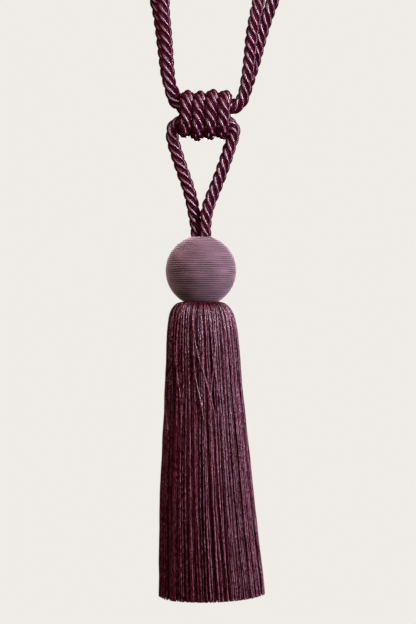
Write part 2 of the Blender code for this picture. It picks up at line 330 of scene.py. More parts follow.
def clover():
    """For each point of the section: its strand's direction and its place on the strand's arc."""
    directions = []
    arcs = []
    for strand in range(STRANDS):
        for i in range(STRAND_POINTS):
            directions.append(2 * math.pi * strand / STRANDS)
            arcs.append(-ARC_HALF + 2 * ARC_HALF * i / STRAND_POINTS)
    return np.array(directions), np.array(arcs)


print(f"{STRANDS * STRAND_POINTS} points round, {math.degrees(ARC_HALF) * 2:.0f} degrees a strand")
print(f"{STRAND_ARC / MM:.1f} mm over a strand's back")

# %% [markdown]
# ## Twisting the strands along the route
#
# A rope machine turns the strands as it pulls them, once round for each 28 mm here. In code a
# frame of two directions is carried along the route without turning by itself, and the clover is
# turned against it by the lay. Each strand is a little fuller and slacker in some places than in
# others, which keeps the rope from looking like a machine thread. The mesh also gets a UV map in
# real metres, along the strand and over its back, for the fine filaments.

# %% Frames that follow the route
def carried_frames(points):
    """For each point, two directions across the route that follow it without twisting."""
    ways = np.gradient(points, axis=0)
    ways /= np.linalg.norm(ways, axis=1)[:, None]
    way = Vector(ways[0])
    across = way.orthogonal().normalized()
    found = []
    for row in ways:
        ahead = Vector(row)
        across = way.rotation_difference(ahead) @ across
        across = (across - ahead * across.dot(ahead)).normalized()
        found.append((*across, *ahead.cross(across)))
        way = ahead
    found = np.array(found)
    return found[:, :3], found[:, 3:]


print("frames along the hanging loop:", len(carried_frames(np.array(HANGING_ROUTE)[:, :3])[0]))

# %% Slow noise, the faces of a tube and its UV map
def slow_noise(rng, length, step, count, tracks):
    """Smooth random curves between -1 and 1, one a track, sampled at count places."""
    knots = np.linspace(0.0, length, max(4, round(length / step)))
    rows = rng.uniform(-1.0, 1.0, (tracks, len(knots)))
    places = np.linspace(0.0, length, count)
    near = np.clip(np.searchsorted(knots, places) - 1, 0, len(knots) - 2)
    part = (places - knots[near]) / (knots[1] - knots[0])
    part = part * part * (3 - 2 * part)
    return rows[:, near] * (1 - part) + rows[:, near + 1] * part


def tube_faces(levels, sides, start=0):
    """Quads of a tube whose rings follow each other, facing outwards, then its two ends."""
    level, side = np.meshgrid(np.arange(levels - 1), np.arange(sides), indexing="ij")
    beside = (side + 1) % sides
    quads = np.stack(
        [
            level * sides + side,
            level * sides + beside,
            (level + 1) * sides + beside,
            (level + 1) * sides + side,
        ],
        axis=-1,
    )
    first = list(range(start + sides - 1, start - 1, -1))
    last = list(range(start + (levels - 1) * sides, start + levels * sides))
    return (quads.reshape(-1, 4) + start).tolist(), [first, last]


def give_uv(data, corners):
    """A UV map from one (u, v) pair for each corner of each face."""
    layer = data.uv_layers.new(name="UVMap")
    layer.data.foreach_set("uv", np.asarray(corners, dtype=np.float32).ravel())


print(f"a tube of 3 rings of 4 points has {len(tube_faces(3, 4)[0])} quads")

# %% The two ropes
ROPE_LAY = 28.0 * MM  # length in which a strand goes once round
ROPE_STEP = 1.0 * MM  # between two rings of points
SLACK_STEP = 17.0 * MM  # a strand's fullness changes over about this length
SLACK_PART = 0.022  # and by at most this part


def twisted_rope(name, route, seed):
    """The rope's mesh, its middle line and its length."""
    rng = np.random.default_rng(seed)
    rows, length = spline_through(route, ROPE_STEP)
    middle = rows[:, :3]
    levels = len(rows)
    directions, arcs = clover()
    sides = len(arcs)
    across, beside = carried_frames(middle)
    run = np.linspace(0.0, length, levels)
    slack = slow_noise(rng, length, SLACK_STEP, levels, STRANDS) * SLACK_PART
    strand_of = np.repeat(np.arange(STRANDS), STRAND_POINTS)
    fullness = STRAND_RADIUS * (1 + slack.T[:, strand_of])
    lay = -2 * math.pi * run / ROPE_LAY
    out = STRAND_OFFSET + fullness * np.cos(arcs)
    side_way = fullness * np.sin(arcs)
    turn = directions[None, :] + lay[:, None]
    half = rows[:, 3:4] / 2
    u = half * (out * np.cos(turn) - side_way * np.sin(turn))
    v = half * (out * np.sin(turn) + side_way * np.cos(turn))
    verts = middle[:, None] + u[..., None] * across[:, None] + v[..., None] * beside[:, None]
    quads, ends = tube_faces(levels, sides)
    data = bpy.data.meshes.new(name)
    data.from_pydata(verts.reshape(-1, 3).tolist(), [], quads + ends)
    level, side = np.meshgrid(np.arange(levels - 1), np.arange(sides), indexing="ij")
    place = STRAND_ARC / STRAND_POINTS
    step = length / (levels - 1)
    corners = np.stack(
        [
            np.stack([level * step, side * place], axis=-1),
            np.stack([level * step, (side + 1) * place], axis=-1),
            np.stack([(level + 1) * step, (side + 1) * place], axis=-1),
            np.stack([(level + 1) * step, side * place], axis=-1),
        ],
        axis=2,
    ).reshape(-1, 2)
    caps = np.zeros((2 * sides, 2))
    give_uv(data, np.concatenate([corners, caps]))
    data.shade_smooth()
    piece = bpy.data.objects.new(name, data)
    bpy.context.collection.objects.link(piece)
    print(f"{name}: {length / MM:.0f} mm, {len(quads) * 2} triangles")
    return piece, middle, length


tie_rope, tie_middle, tie_length = twisted_rope("twisted_tie_rope", TIE_ROUTE, seed=3)
hanging_loop, hanging_middle, hanging_length = twisted_rope(
    "twisted_hanging_loop", HANGING_ROUTE, seed=4
)

# %% [markdown]
# ## Telling what the ropes are
#
# Each rope is a limp thing of a fixed length. It takes the place of its plain solid, which is
# hidden, and is attached to the root body. The tie rope is held taut by what it hangs on; the loop
# hangs from the knot.

# %% Telling what the ropes are
for piece, middle, length, node, lay in (
    (tie_rope, tie_middle, tie_length, "tie_rope", "taut"),
    (hanging_loop, hanging_middle, hanging_length, "hanging_loop", "hanging"),
):
    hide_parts(node)
    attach(piece, "root")
    print(f"{piece.name}: stands for {node}")

# %% [markdown]
# ## Satin rope yarn
#
# The strands are viscose, a smooth fibre with a strong shine, laid so that its filaments run along
# the strand. It gives the eye three things: a deep wine ground, a narrow pale line where the light
# glances off each strand, and faint streaks along it. The filaments are a few hundredths of a
# millimetre, too fine to show, so they are drawn in streaks about 0.8 mm wide and 9 mm long.

# %% Satin rope yarn
STREAK_WIDTH = 0.8 * MM
STREAK_RUN = 9.0 * MM


def satin_rope():
    """Viscose filaments laid side by side: a smooth surface over a dark ground."""
    material, tree = new_material("satin_viscose_rope")
    place = add_node(tree, "ShaderNodeUVMap", uv_map="UVMap").outputs["UV"]
    streaks = add_node(
        tree,
        "ShaderNodeMapping",
        {"Vector": place, "Scale": (1 / STREAK_RUN, 1 / STREAK_WIDTH, 1.0)},
    )
    filaments = add_node(
        tree,
        "ShaderNodeTexNoise",
        {"Vector": streaks.outputs["Vector"], "Scale": 1.0, "Detail": 0.0},
        noise_dimensions="2D",
    )
    tone = add_node(
        tree,
        "ShaderNodeMapRange",
        {"Value": filaments.outputs["Fac"], "From Min": 0.3, "From Max": 0.7},
    )
    colour = add_node(
        tree,
        "ShaderNodeMix",
        {
            MIX_FACTOR: tone.outputs["Result"],
            MIX_A: linear("#220209"),
            MIX_B: linear("#36061a"),
        },
        data_type="RGBA",
    )
    relief = add_node(
        tree,
        "ShaderNodeBump",
        {"Height": filaments.outputs["Fac"], "Strength": 0.015, "Distance": 0.08 * MM},
    )
    shader = add_node(
        tree,
        "ShaderNodeBsdfPrincipled",
        {
            "Base Color": colour.outputs[MIX_RESULT],
            "Roughness": 0.21,
            "IOR": 1.53,
            "Specular IOR Level": 0.6,
            "Specular Tint": linear("#f4e0e8"),
            "Normal": relief.outputs["Normal"],
        },
    )
    add_node(tree, "ShaderNodeOutputMaterial", {"Surface": shader.outputs["BSDF"]})
    return material


rope_finish = satin_rope()
for piece in (tie_rope, hanging_loop):
    piece.data.materials.append(rope_finish)
print("finish:", rope_finish.name)

# %% [markdown]
# ## The ball
#
# The ball is a turned wooden bead, wound from pole to pole with fine thread, with one hole in its
# top for the two rope ends. It can be modelled as a sphere with a few points to each row of
# thread. The top is cut off at the mouth and the edge is pushed down to make the hole. After that
# each row is rounded by letting the points between two rows sink, a little more here and less
# there, because thread is wound by hand. A bump map alone would leave the edge of the ball smooth.

# %% The ball's sizes and place
BALL_RADIUS = 25.0 * MM
MOUTH_RADIUS = 8.0 * MM
MOUTH_DEPTH = 8.0 * MM
THREAD_PITCH = 1.5 * MM  # a row is a few threads side by side, as single ones are too fine to show
THREAD_DEPTH = 0.36 * MM  # of a common gap between two rows
THREAD_POINTS = 4  # rings of points to a row of thread
BALL_SIDES = 128

ball_low, ball_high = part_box("ball")
BALL_CENTRE = Vector(
    ((ball_low[0] + ball_high[0]) / 2, (ball_low[1] + ball_high[1]) / 2, ball_low[2] + BALL_RADIUS)
)
print("the ball's centre in mm:", [round(value / MM, 1) for value in BALL_CENTRE])

# %% Helpers for working in edit mode
def select_only(piece=None):
    """Deselects everything, then selects the piece and makes it the active one."""
    bpy.ops.object.select_all(action="DESELECT")
    if piece:
        piece.select_set(True)
        bpy.context.view_layer.objects.active = piece


def select_points(piece, wanted):
    """In edit mode, selects the points that the test passes, and nothing else."""
    bpy.ops.object.mode_set(mode="OBJECT")
    data = piece.data
    for part in (*data.polygons, *data.edges):
        part.select = False
    for vert in data.vertices:
        vert.select = wanted(vert.co)
    bpy.ops.object.mode_set(mode="EDIT")


def settle(piece, name):
    """Ends a piece: its place and size go into its mesh, and it gets its name."""
    bpy.ops.object.mode_set(mode="OBJECT")
    select_only(piece)
    bpy.ops.object.transform_apply(location=True, rotation=True, scale=True)
    piece.name = name
    piece.data.name = name
    return piece


select_only()
print("selected now:", len(bpy.context.selected_objects))

# %% The turned blank
def ball_blank():
    """A fine sphere with its top cut off and a hole pushed down into it."""
    rows = round(math.pi * BALL_RADIUS / THREAD_PITCH)
    select_only()
    bpy.ops.mesh.primitive_uv_sphere_add(
        segments=BALL_SIDES,
        ring_count=rows * THREAD_POINTS,
        radius=BALL_RADIUS,
        location=BALL_CENTRE,
    )
    piece = bpy.context.object
    bpy.ops.object.mode_set(mode="EDIT")
    bpy.ops.mesh.select_mode(type="VERT")
    select_points(piece, lambda co: co.z > 0 and math.hypot(co.x, co.y) < MOUTH_RADIUS)
    bpy.ops.mesh.delete(type="VERT")
    bpy.ops.mesh.select_all(action="DESELECT")
    bpy.ops.mesh.select_non_manifold()
    bpy.ops.mesh.extrude_region_move(TRANSFORM_OT_translate={"value": (0.0, 0.0, -MOUTH_DEPTH)})
    bpy.ops.mesh.edge_face_add()
    return settle(piece, "wound_ball"), rows


wound_ball, thread_rows = ball_blank()
print(f"{thread_rows} rows of thread, {len(wound_ball.data.polygons)} faces")

# %% [markdown]
# Now the thread itself. The way from the pole down to a point, counted in rows, says whether the
# point lies on the back of a row or in the gap between two. Near the poles the rows are spread
# wider, so that from the side they all look about as high. How deep a point lies is kept as an
# attribute too, and the thread's finish uses it to paint the gaps darker, as painted shade.

# %% Winding the thread
GAP_WANDER = 0.16  # how far a row strays from its place, over the pitch
GAP_OPENNESS = 0.95  # how open the gaps are on average; some close, others open twice as far
# The darkness of a gap is painted shade.
GAP_PAINTED_SHADE = 0.35  # under 1, so that a shallow gap is already nearly as dark as a deep one
ROW_SPREAD = 0.75  # 0 keeps the rows as wide everywhere, 1 makes them look evenly high
FADE_SIZE = 11.0 * MM  # over about this distance along the rows the gaps open and close
FADE_FLATNESS = 3.0  # and over so many times less across them
ELSEWHERE = Vector((1.0, 2.0, 3.0))  # a step to another part of the noise
SURFACE_PART = 0.99  # of the radius: points further in belong to the hole


def soft_noise(place):
    """Blender's own smooth noise, with patches of the fading gaps' size."""
    return noise.noise(place / FADE_SIZE)


def wind(piece):
    """Lets the points between two rows of thread sink, keeps each gap's painted shade as an attribute,
    and gives the deepest sinking.
    """
    deepest = 0.0
    painted_gap_shades = piece.data.attributes.new("gap_and_painted_shade", "FLOAT", "POINT")
    for vert in piece.data.vertices:
        away = vert.co - BALL_CENTRE
        if away.length < SURFACE_PART * BALL_RADIUS:
            continue
        way = BALL_RADIUS * away.angle(Vector((0.0, 0.0, 1.0)))
        way += ROW_SPREAD * (-away.z - way)
        flat = Vector((away.x, away.y, away.z * FADE_FLATNESS))
        row = way / THREAD_PITCH + GAP_WANDER * soft_noise(flat)
        openness = GAP_OPENNESS + soft_noise(flat + ELSEWHERE)
        gap_and_painted_shade = openness * (1 - abs(math.sin(math.pi * row)))
        vert.co -= away.normalized() * THREAD_DEPTH * gap_and_painted_shade
        # the gap's painted shade, kept for the thread's finish
        painted_gap_shades.data[vert.index].value = gap_and_painted_shade**GAP_PAINTED_SHADE
        deepest = max(deepest, THREAD_DEPTH * gap_and_painted_shade)
    piece.data.shade_smooth()
    return deepest


print(f"deepest gap {wind(wound_ball) / MM:.2f} mm")
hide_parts("ball")
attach(wound_ball, "root")

# %% [markdown]
# ## The thread's finish
#
# The thread is matt spun viscose, dusty mauve beside the shining rope. Spun thread scatters light
# from its loose fibre ends, so it has no highlight but a pale bloom where it turns away from the
# eye, which is what the sheen of a cloth shader is for. Rows differ a little in tone over a few
# centimetres, the gaps between them get a nearly black painted shade, and the fine twist of the
# thread, about 0.5 mm a turn, gives a slight grain.

# %% The thread's finish
TONE_LENGTH = 25.0 * MM  # along the rows
TONE_HEIGHT = 1.6 * THREAD_PITCH  # across them
TWIST_RUN = 0.5 * MM


def wound_thread():
    """Matt thread in rows: two tones of mauve, painted shade in the gaps, a fine grain and a pale
    sheen.
    """
    material, tree = new_material("matt_viscose_winding_thread")
    place = add_node(tree, "ShaderNodeTexCoord").outputs["Object"]
    flat = add_node(
        tree,
        "ShaderNodeMapping",
        {"Vector": place, "Scale": (1 / TONE_LENGTH, 1 / TONE_LENGTH, 1 / TONE_HEIGHT)},
    )
    rows = add_node(
        tree,
        "ShaderNodeTexNoise",
        {"Vector": flat.outputs["Vector"], "Scale": 1.0, "Detail": 3.0},
    )
    tone = add_node(
        tree,
        "ShaderNodeMapRange",
        {"Value": rows.outputs["Fac"], "From Min": 0.3, "From Max": 0.7},
    )
    colour = add_node(
        tree,
        "ShaderNodeMix",
        {
            MIX_FACTOR: tone.outputs["Result"],
            MIX_A: linear("#563b43"),
            MIX_B: linear("#6f525c"),
        },
        data_type="RGBA",
    )
    # painted shade: the gaps are mixed towards nearly black by their depth
    gap_and_painted_shade = add_node(tree, "ShaderNodeAttribute", attribute_name="gap_and_painted_shade").outputs["Fac"]
    with_painted_gap_shade = add_node(
        tree,
        "ShaderNodeMix",
        {MIX_FACTOR: gap_and_painted_shade, MIX_A: colour.outputs[MIX_RESULT], MIX_B: linear("#160a11")},
        data_type="RGBA",
    )
    grain = add_node(
        tree,
        "ShaderNodeTexNoise",
        {"Vector": place, "Scale": 1 / TWIST_RUN, "Detail": 2.0},
    )
    relief = add_node(
        tree,
        "ShaderNodeBump",
        {"Height": grain.outputs["Fac"], "Strength": 0.3, "Distance": 0.15 * MM},
    )
    shader = add_node(
        tree,
        "ShaderNodeBsdfPrincipled",
        {
            "Base Color": with_painted_gap_shade.outputs[MIX_RESULT],
            "Roughness": 0.75,
            "Specular IOR Level": 0.35,
            "Sheen Weight": 0.5,
            "Sheen Roughness": 0.4,
            "Sheen Tint": linear("#e8dce4"),
            "Normal": relief.outputs["Normal"],
        },
    )
    add_node(tree, "ShaderNodeOutputMaterial", {"Surface": shader.outputs["BSDF"]})
    return material


wound_ball.data.materials.append(wound_thread())
print("finish:", wound_ball.data.materials[0].name)

# %% [markdown]
# ## The skirt's outline
#
# The yarns come out from under the ball, go over a rounded shoulder and hang nearly straight,
# spreading slowly to the trimmed edge. One line down the side of that shape serves every yarn: it
# says how far out a yarn is after so much of its length.

# %% The skirt's outline
# Each row: drop below the ball's centre, radius and sideways lean of the skirt's outline, in mm.
SKIRT_OUTLINE = (
    (22.0, 13.0, 0.2),
    (23.3, 17.6, 0.2),
    (25.8, 20.4, 0.3),
    (28.6, 22.2, 0.4),
    (37.0, 24.5, 0.7),
    (54.0, 26.2, 1.2),
    (77.0, 27.1, 2.0),
    (99.0, 28.5, 2.7),
    (160.0, 33.1, 4.5),
    (229.0, 37.5, 8.0),
)
CUT_DROP = 228.0 * MM
CUT_SLANT = 0.03  # the skirt is trimmed a little shorter on the right

outline, outline_length = spline_through(in_metres(SKIRT_OUTLINE), MM)
outline_run = np.linspace(0.0, outline_length, len(outline))


def outline_after(run):
    """Drop, radius and lean of the outline after so much of its length from the lip."""
    return [np.interp(run, outline_run, outline[:, column]) for column in range(3)]


print(f"{outline_length / MM:.0f} mm from the lip to the trimmed edge")

# %% [markdown]
# ## The head under the yarns
#
# Under the first layer of yarn is the bound head of the tassel, hollowed for the ball. It keeps
# light from shining through the top of the skirt. A flat disc is drawn out ring by ring, by
# extruding its edge and then scaling and lowering the new ring, as a potter opens a bowl.

# %% The head under the yarns
HEAD_INSET = 4.0 * MM  # how far the head lies inside the outline
HEAD_SIDES = 64
HEAD_BOTTOM = 46.0 * MM  # below the ball's centre
SEAT_RADIUS = BALL_RADIUS + 0.3 * MM  # of the hollow for the ball
SEAT_RINGS = (3.0 * MM, 8.0 * MM, 11.6 * MM)
SHOULDER_REACH = 30.0 * MM  # so far down the outline the rings follow it
SHOULDER_STEP = 2.5 * MM


def head_rings():
    """Radius and drop of each ring, from the middle of the seat over the shoulder to below."""
    rings = []
    for radius in SEAT_RINGS:
        rings.append((radius, math.sqrt(SEAT_RADIUS**2 - radius**2)))
    for run in np.arange(0.0, SHOULDER_REACH, SHOULDER_STEP):
        drop, radius, _ = outline_after(run)
        if run > 0 and drop < HEAD_BOTTOM:
            rings.append((radius - HEAD_INSET, drop + 0.5 * HEAD_INSET))
    rings.append((rings[-1][0], HEAD_BOTTOM))
    rings.append((0.5 * rings[-1][0], HEAD_BOTTOM))
    return rings


def skirt_head():
    """The head: a disc drawn out ring by ring and closed at the bottom."""
    rings = head_rings()
    select_only()
    bpy.ops.mesh.primitive_circle_add(
        vertices=HEAD_SIDES,
        radius=rings[0][0],
        fill_type="NGON",
        location=(BALL_CENTRE.x, BALL_CENTRE.y, BALL_CENTRE.z - rings[0][1]),
    )
    piece = bpy.context.object
    bpy.ops.object.mode_set(mode="EDIT")
    bpy.ops.mesh.select_mode(type="EDGE")
    bpy.ops.mesh.select_all(action="DESELECT")
    bpy.ops.mesh.select_non_manifold()
    for (radius, drop), (next_radius, next_drop) in zip(rings, rings[1:]):
        bpy.ops.mesh.extrude_region_move(
            TRANSFORM_OT_translate={"value": (0.0, 0.0, drop - next_drop)}
        )
        bpy.ops.transform.resize(value=(next_radius / radius, next_radius / radius, 1.0))
    bpy.ops.mesh.edge_face_add()
    bpy.ops.mesh.select_all(action="SELECT")
    bpy.ops.mesh.normals_make_consistent(inside=False)
    piece = settle(piece, "skirt_head")
    piece.data.shade_smooth()
    return piece


head = skirt_head()
print(f"head: {len(head.data.polygons)} faces")

# %% [markdown]
# ## Yarns
#
# A skirt like this holds well over a thousand yarns, each a little over a millimetre thick. They
# can be curves, or hair, but a joined mesh of thin tubes is what every program can read. All yarns
# of a layer are worked out together in arrays: where each one starts round the head, how it
# wanders, which neighbours it draws close to, and how long it was cut. Neighbouring yarns cling
# together in locks and leave dark gaps between them.

# %% The way of the yarns
LEVEL_CROWDING = 1.5  # levels lie closer together over the shoulder
SHOULDER_RUN = 22.0 * MM  # over this length the layers part from each other
TRIM_SPREAD = 0.1 * MM  # at most so much shorter than the others, or half as much longer
CUT_DOME = 0.14  # a yarn hangs this much lower for each mm that it lies deeper
DOME_DEPTH = 5.0 * MM  # down to this depth
LOCK_COUNT = 60
LOCK_PULL = 0.4  # how far a yarn moves to the middle of its lock, half way down
NECK_PULL = 0.75  # and where it is bound into the head
NECK_DEPTH = 0.45  # the part of its depth below the others that a yarn has there
# Each row: a wander's step over the yarn's length, how far it goes sideways and in depth, in mm.
WANDERS = ((0.25, 0.8, 0.3), (0.03, 0.1, 0.1))


def eased(part):
    """From 0 to 1 with a gentle start and end."""
    part = np.clip(part, 0.0, 1.0)
    return part * part * (3 - 2 * part)


def yarn_paths(rng, angle, turn, depth, levels, start):
    """Points down each yarn, (yarns, levels, 3), the length down to each, and its direction.

    turn holds, for each yarn, how far it strays round the skirt, and the lengths from its top
    between which it does so."""
    count = len(angle)
    inset = rng.uniform(*depth, count)[:, None]
    locks = np.sort(rng.uniform(0.0, 2 * math.pi, LOCK_COUNT))
    apart = (angle[:, None] - locks[None, :] + math.pi) % (2 * math.pi) - math.pi
    nearest = apart[np.arange(count), np.abs(apart).argmin(axis=1)][:, None]
    cut = rng.uniform(-TRIM_SPREAD, TRIM_SPREAD / 2, count)
    cut = cut + CUT_DOME * np.minimum(inset[:, 0], DOME_DEPTH)
    cut_drop = CUT_DROP + cut - CUT_SLANT * outline[-1, 1] * np.cos(angle + turn[:, 0])
    end = np.interp(cut_drop, outline[:, 0], outline_run)[:, None]
    run = start + (end - start) * np.linspace(0.0, 1.0, levels) ** LEVEL_CROWDING
    drop, radius, lean = outline_after(run)
    parted = eased(run / SHOULDER_RUN)
    sideways = np.zeros_like(run)
    deeper = inset * np.ones_like(run)
    for step, side_size, depth_size in WANDERS:
        sideways += slow_noise(rng, 1.0, step, levels, count) * side_size * MM
        deeper += slow_noise(rng, 1.0, step, levels, count) * depth_size * MM
    cling = LOCK_PULL + (NECK_PULL - LOCK_PULL) * (1 - parted)
    cling = cling * (1 - eased(run / outline_length))
    stray = turn[:, :1] * eased((run - turn[:, 1:2]) / (turn[:, 2:3] - turn[:, 1:2]))
    turned = angle[:, None] + stray - cling * nearest + parted * sideways / np.maximum(radius, MM)
    reach = radius - (NECK_DEPTH + (1 - NECK_DEPTH) * parted) * deeper
    x = BALL_CENTRE.x + lean + reach * np.cos(turned)
    y = BALL_CENTRE.y + reach * np.sin(turned)
    return np.stack([x, y, BALL_CENTRE.z - drop], axis=-1), run, turned


print(f"{LOCK_COUNT} locks, {2 * math.pi * outline[-1, 1] / LOCK_COUNT / MM:.1f} mm apart at the edge")

# %% [markdown]
# A soft yarn of this kind has little twist, so it lies flat like a narrow ribbon and turns over
# slowly on its way down. Where its flat side faces the light it shines over its whole width, and
# further down it is dark again. That makes the long glints of such a skirt, so each tube gets an
# oval section that turns as it goes.

# %% A mesh of yarns
YARN_WIDTH = 1.2 * MM
YARN_THICKNESS = 0.8 * MM
YARN_GIRTH = 2.3 * YARN_WIDTH  # the way round, for the UV map
YARN_SIZES = (0.8, 1.1)  # the finest and the fullest yarn, over the common one
YARN_TURN = 70.0 * MM  # a yarn turns over once in about this length
YARN_SWAY = 1.0  # and sways this far, in radians, from an even twist
SWAY_STEP = 0.1  # over about this part of its length
CUT_RIM = 0.03 * MM  # a second ring this far past the first keeps the shading of a cut end sharp
NECK_PART = 0.62  # the part of its size a yarn keeps where it is bound into the head


def yarn_mesh(name, rng, points, run, turned, sides, girth=1.0):
    """One joined mesh of tubes along the points, with a UV map in metres and a tone a yarn."""
    count, levels, _ = points.shape
    ways = np.gradient(points, axis=1)
    ways /= np.linalg.norm(ways, axis=2)[..., None]
    outwards = np.stack([np.cos(turned), np.sin(turned), np.zeros_like(turned)], axis=-1)
    outwards -= (outwards * ways).sum(axis=2)[..., None] * ways
    outwards /= np.linalg.norm(outwards, axis=2)[..., None]
    beside = np.cross(ways, outwards)
    size = girth * rng.uniform(*YARN_SIZES, (count, 1))
    size = size * np.interp(run, (0.0, SHOULDER_RUN), (NECK_PART, 1.0))
    twist = rng.uniform(0.0, 2 * math.pi, (count, 1))
    twist = twist + rng.choice((-1, 1), (count, 1)) * 2 * math.pi * run / YARN_TURN
    twist = twist + YARN_SWAY * slow_noise(rng, 1.0, SWAY_STEP, levels, count)
    corner = 2 * math.pi * np.arange(sides) / sides
    thin = size[..., None] * YARN_THICKNESS / 2 * np.cos(corner)
    wide = size[..., None] * YARN_WIDTH / 2 * np.sin(corner)
    cosine, sine = np.cos(twist)[..., None], np.sin(twist)[..., None]
    verts = (
        points[:, :, None]
        + outwards[:, :, None] * (thin * cosine - wide * sine)[..., None]
        + beside[:, :, None] * (thin * sine + wide * cosine)[..., None]
    )
    verts = np.concatenate([verts, verts[:, -1:] + CUT_RIM * ways[:, -1:, None]], axis=1)
    run = np.concatenate([run, run[:, -1:] + CUT_RIM], axis=1)
    levels += 1
    quads, ends = tube_faces(levels, sides)
    starts = np.arange(count) * levels * sides
    all_quads = (np.array(quads)[None] + starts[:, None, None]).reshape(-1, 4)
    all_ends = (np.array(ends)[None] + starts[:, None, None]).reshape(-1, sides)
    data = bpy.data.meshes.new(name)
    data.from_pydata(verts.reshape(-1, 3).tolist(), [], all_quads.tolist() + all_ends.tolist())
    tones = rng.uniform(0.0, 1.0, count)
    level, side = np.meshgrid(np.arange(levels - 1), np.arange(sides), indexing="ij")
    around = np.stack([side, side + 1, side + 1, side], axis=-1) * YARN_GIRTH / sides
    along = run[:, np.stack([level, level, level + 1, level + 1], axis=-1)]
    along = along + tones[:, None, None, None] * outline_length
    corners = np.stack([along, np.broadcast_to(around, along.shape)], axis=-1).reshape(-1, 2)
    give_uv(data, np.concatenate([corners, np.zeros((all_ends.size, 2))]))
    tone = data.attributes.new("tone", "FLOAT", "POINT")
    tone.data.foreach_set("value", np.repeat(tones, levels * sides).astype(np.float32))
    data.shade_smooth()
    for face in data.polygons[len(all_quads) :]:
        face.use_smooth = False
    piece = bpy.data.objects.new(name, data)
    bpy.context.collection.objects.link(piece)
    triangles = 2 * len(all_quads) + len(all_ends) * (sides - 2)
    print(f"{name}: {count} yarns, {triangles} triangles")
    return piece


print(f"a yarn is {YARN_WIDTH / MM:.1f} by {YARN_THICKNESS / MM:.1f} mm")

# %% Three layers of yarns
SPACING_JITTER = 0.7  # how far a yarn starts from its even place, over the spacing
LEAN_SPREAD = 0.02  # and how far it leans round the skirt on its way down, in radians


def yarn_layer(name, seed, count, depth, sides, levels, start=0.0, girth=1.0):
    """A layer of yarns all round, whose depth below the outline and start are in mm."""
    rng = np.random.default_rng(seed)
    jitter = rng.uniform(-SPACING_JITTER, SPACING_JITTER, count)
    angle = 2 * math.pi * (np.arange(count) + jitter) / count
    turn = np.zeros((count, 3))
    turn[:, 0] = rng.normal(0.0, LEAN_SPREAD, count)
    turn[:, 2] = outline_length
    depth = (depth[0] * MM, depth[1] * MM)
    points, run, turned = yarn_paths(rng, angle, turn, depth, levels, start * MM)
    return yarn_mesh(name, rng, points, run, turned, sides, girth)


# Each row: name, seed, number of yarns, depths in mm, sides and levels of a tube.
SHOWN_LAYERS = (
    ("skirt_outer_yarns", 21, 102, (0.4, 1.7), 8, 70),
    ("skirt_second_yarns", 22, 118, (1.9, 3.1), 6, 60),
    ("skirt_third_yarns", 23, 130, (3.2, 4.6), 5, 50),
)
yarn_layers = [yarn_layer(*row) for row in SHOWN_LAYERS]

# %% [markdown]
# Under these three the skirt is filled with simpler yarns, which only show between the others and
# at the trimmed edge. A few yarns stray slantwise over all of them: the ones at the front are set
# one by one, and the rest fall by chance.

# %% Filling yarns
# Each row: depth in mm, number of yarns, start in mm from the lip.
FILLING = (
    (5.9, 150, 0.0),
    (8.2, 145, 0.0),
    (10.5, 135, 20.0),
    (14.0, 115, 24.0),
    (18.5, 95, 24.0),
    (24.0, 70, 24.0),
)
FILLING_SEED = 30
FILLING_SPREAD = 1.3  # in mm, how far a yarn lies over or under its layer's depth
FILLING_SIDES = 4
FILLING_LEVELS = 16
FILLING_GIRTH = 1.5  # drawn fuller, so that fewer fill the skirt
for number, (depth, count, start) in enumerate(FILLING, 1):
    layer = yarn_layer(
        f"skirt_filling_yarns_{number}",
        FILLING_SEED + number,
        count,
        (depth - FILLING_SPREAD, depth + FILLING_SPREAD),
        FILLING_SIDES,
        FILLING_LEVELS,
        start,
        FILLING_GIRTH,
    )
    yarn_layers.append(layer)

# %% Yarns that stray over the others
# Each row: degrees to the right of the front, degrees it strays, from and to so many mm down.
FRONT_STRAYS = (
    (-14, 30, 16, 92),
    (-51, 17, 30, 90),
    (-12, 11, 45, 92),
    (21, -13, 25, 80),
    (13, 13, 30, 95),
    (-34, -9, 60, 130),
)
STRAY_SEED = 24
STRAY_DEPTHS = (0.2 * MM, 0.5 * MM)
STRAY_LEVELS = 70
STRAY_SIDES = 8
CHANCE_STRAYS = 10
CHANCE_TOPS = (25, 80)  # in mm down from the lip
CHANCE_PLACES = (85, 275)  # in degrees to the right of the front, so at the sides and back
CHANCE_TURN = 20  # spread of the degrees that they stray
CHANCE_RUNS = (40, 70)  # in mm, the length over which they do so


def stray_yarns():
    """The yarns that lie slantwise over the others."""
    rng = np.random.default_rng(STRAY_SEED)
    rows = list(FRONT_STRAYS)
    for _ in range(CHANCE_STRAYS):
        top = rng.uniform(*CHANCE_TOPS)
        place = rng.uniform(*CHANCE_PLACES)
        strays = rng.normal(0, CHANCE_TURN)
        rows.append((place, strays, top, top + rng.uniform(*CHANCE_RUNS)))
    rows = np.array(rows)
    angle = np.radians(rows[:, 0]) - math.pi / 2
    turn = np.column_stack([np.radians(rows[:, 1]), rows[:, 2:] * MM])
    points, run, turned = yarn_paths(rng, angle, turn, STRAY_DEPTHS, STRAY_LEVELS, 0.0)
    return yarn_mesh("skirt_stray_yarns", rng, points, run, turned, STRAY_SIDES)


yarn_layers.append(stray_yarns())

# %% [markdown]
# ## Skirt yarn
#
# The skirt is soft viscose yarn in the rope's colour, with hardly any twist. Every yarn took the
# dye a little differently. Its filaments lie parallel in some places and shine, and are crimped in
# others and look dull, which breaks the light into small glints along it. A glint is about 3 mm
# long, and one noise drives both the roughness and the relief. The yarns deeper in the skirt get a
# duller finish as painted shade, standing in for the shade that the outer yarns throw, so that
# the gaps stay dark.

# %% Skirt yarn
GLINT_RUN = 3.2 * MM
GLINT_WIDTH = 1.3 * MM
OUTER_SHINE = 0.85
# painted shade: the deeper yarns shine less, standing in for the shade of the outer ones
SHADED_INNER_SHINE = 0.35


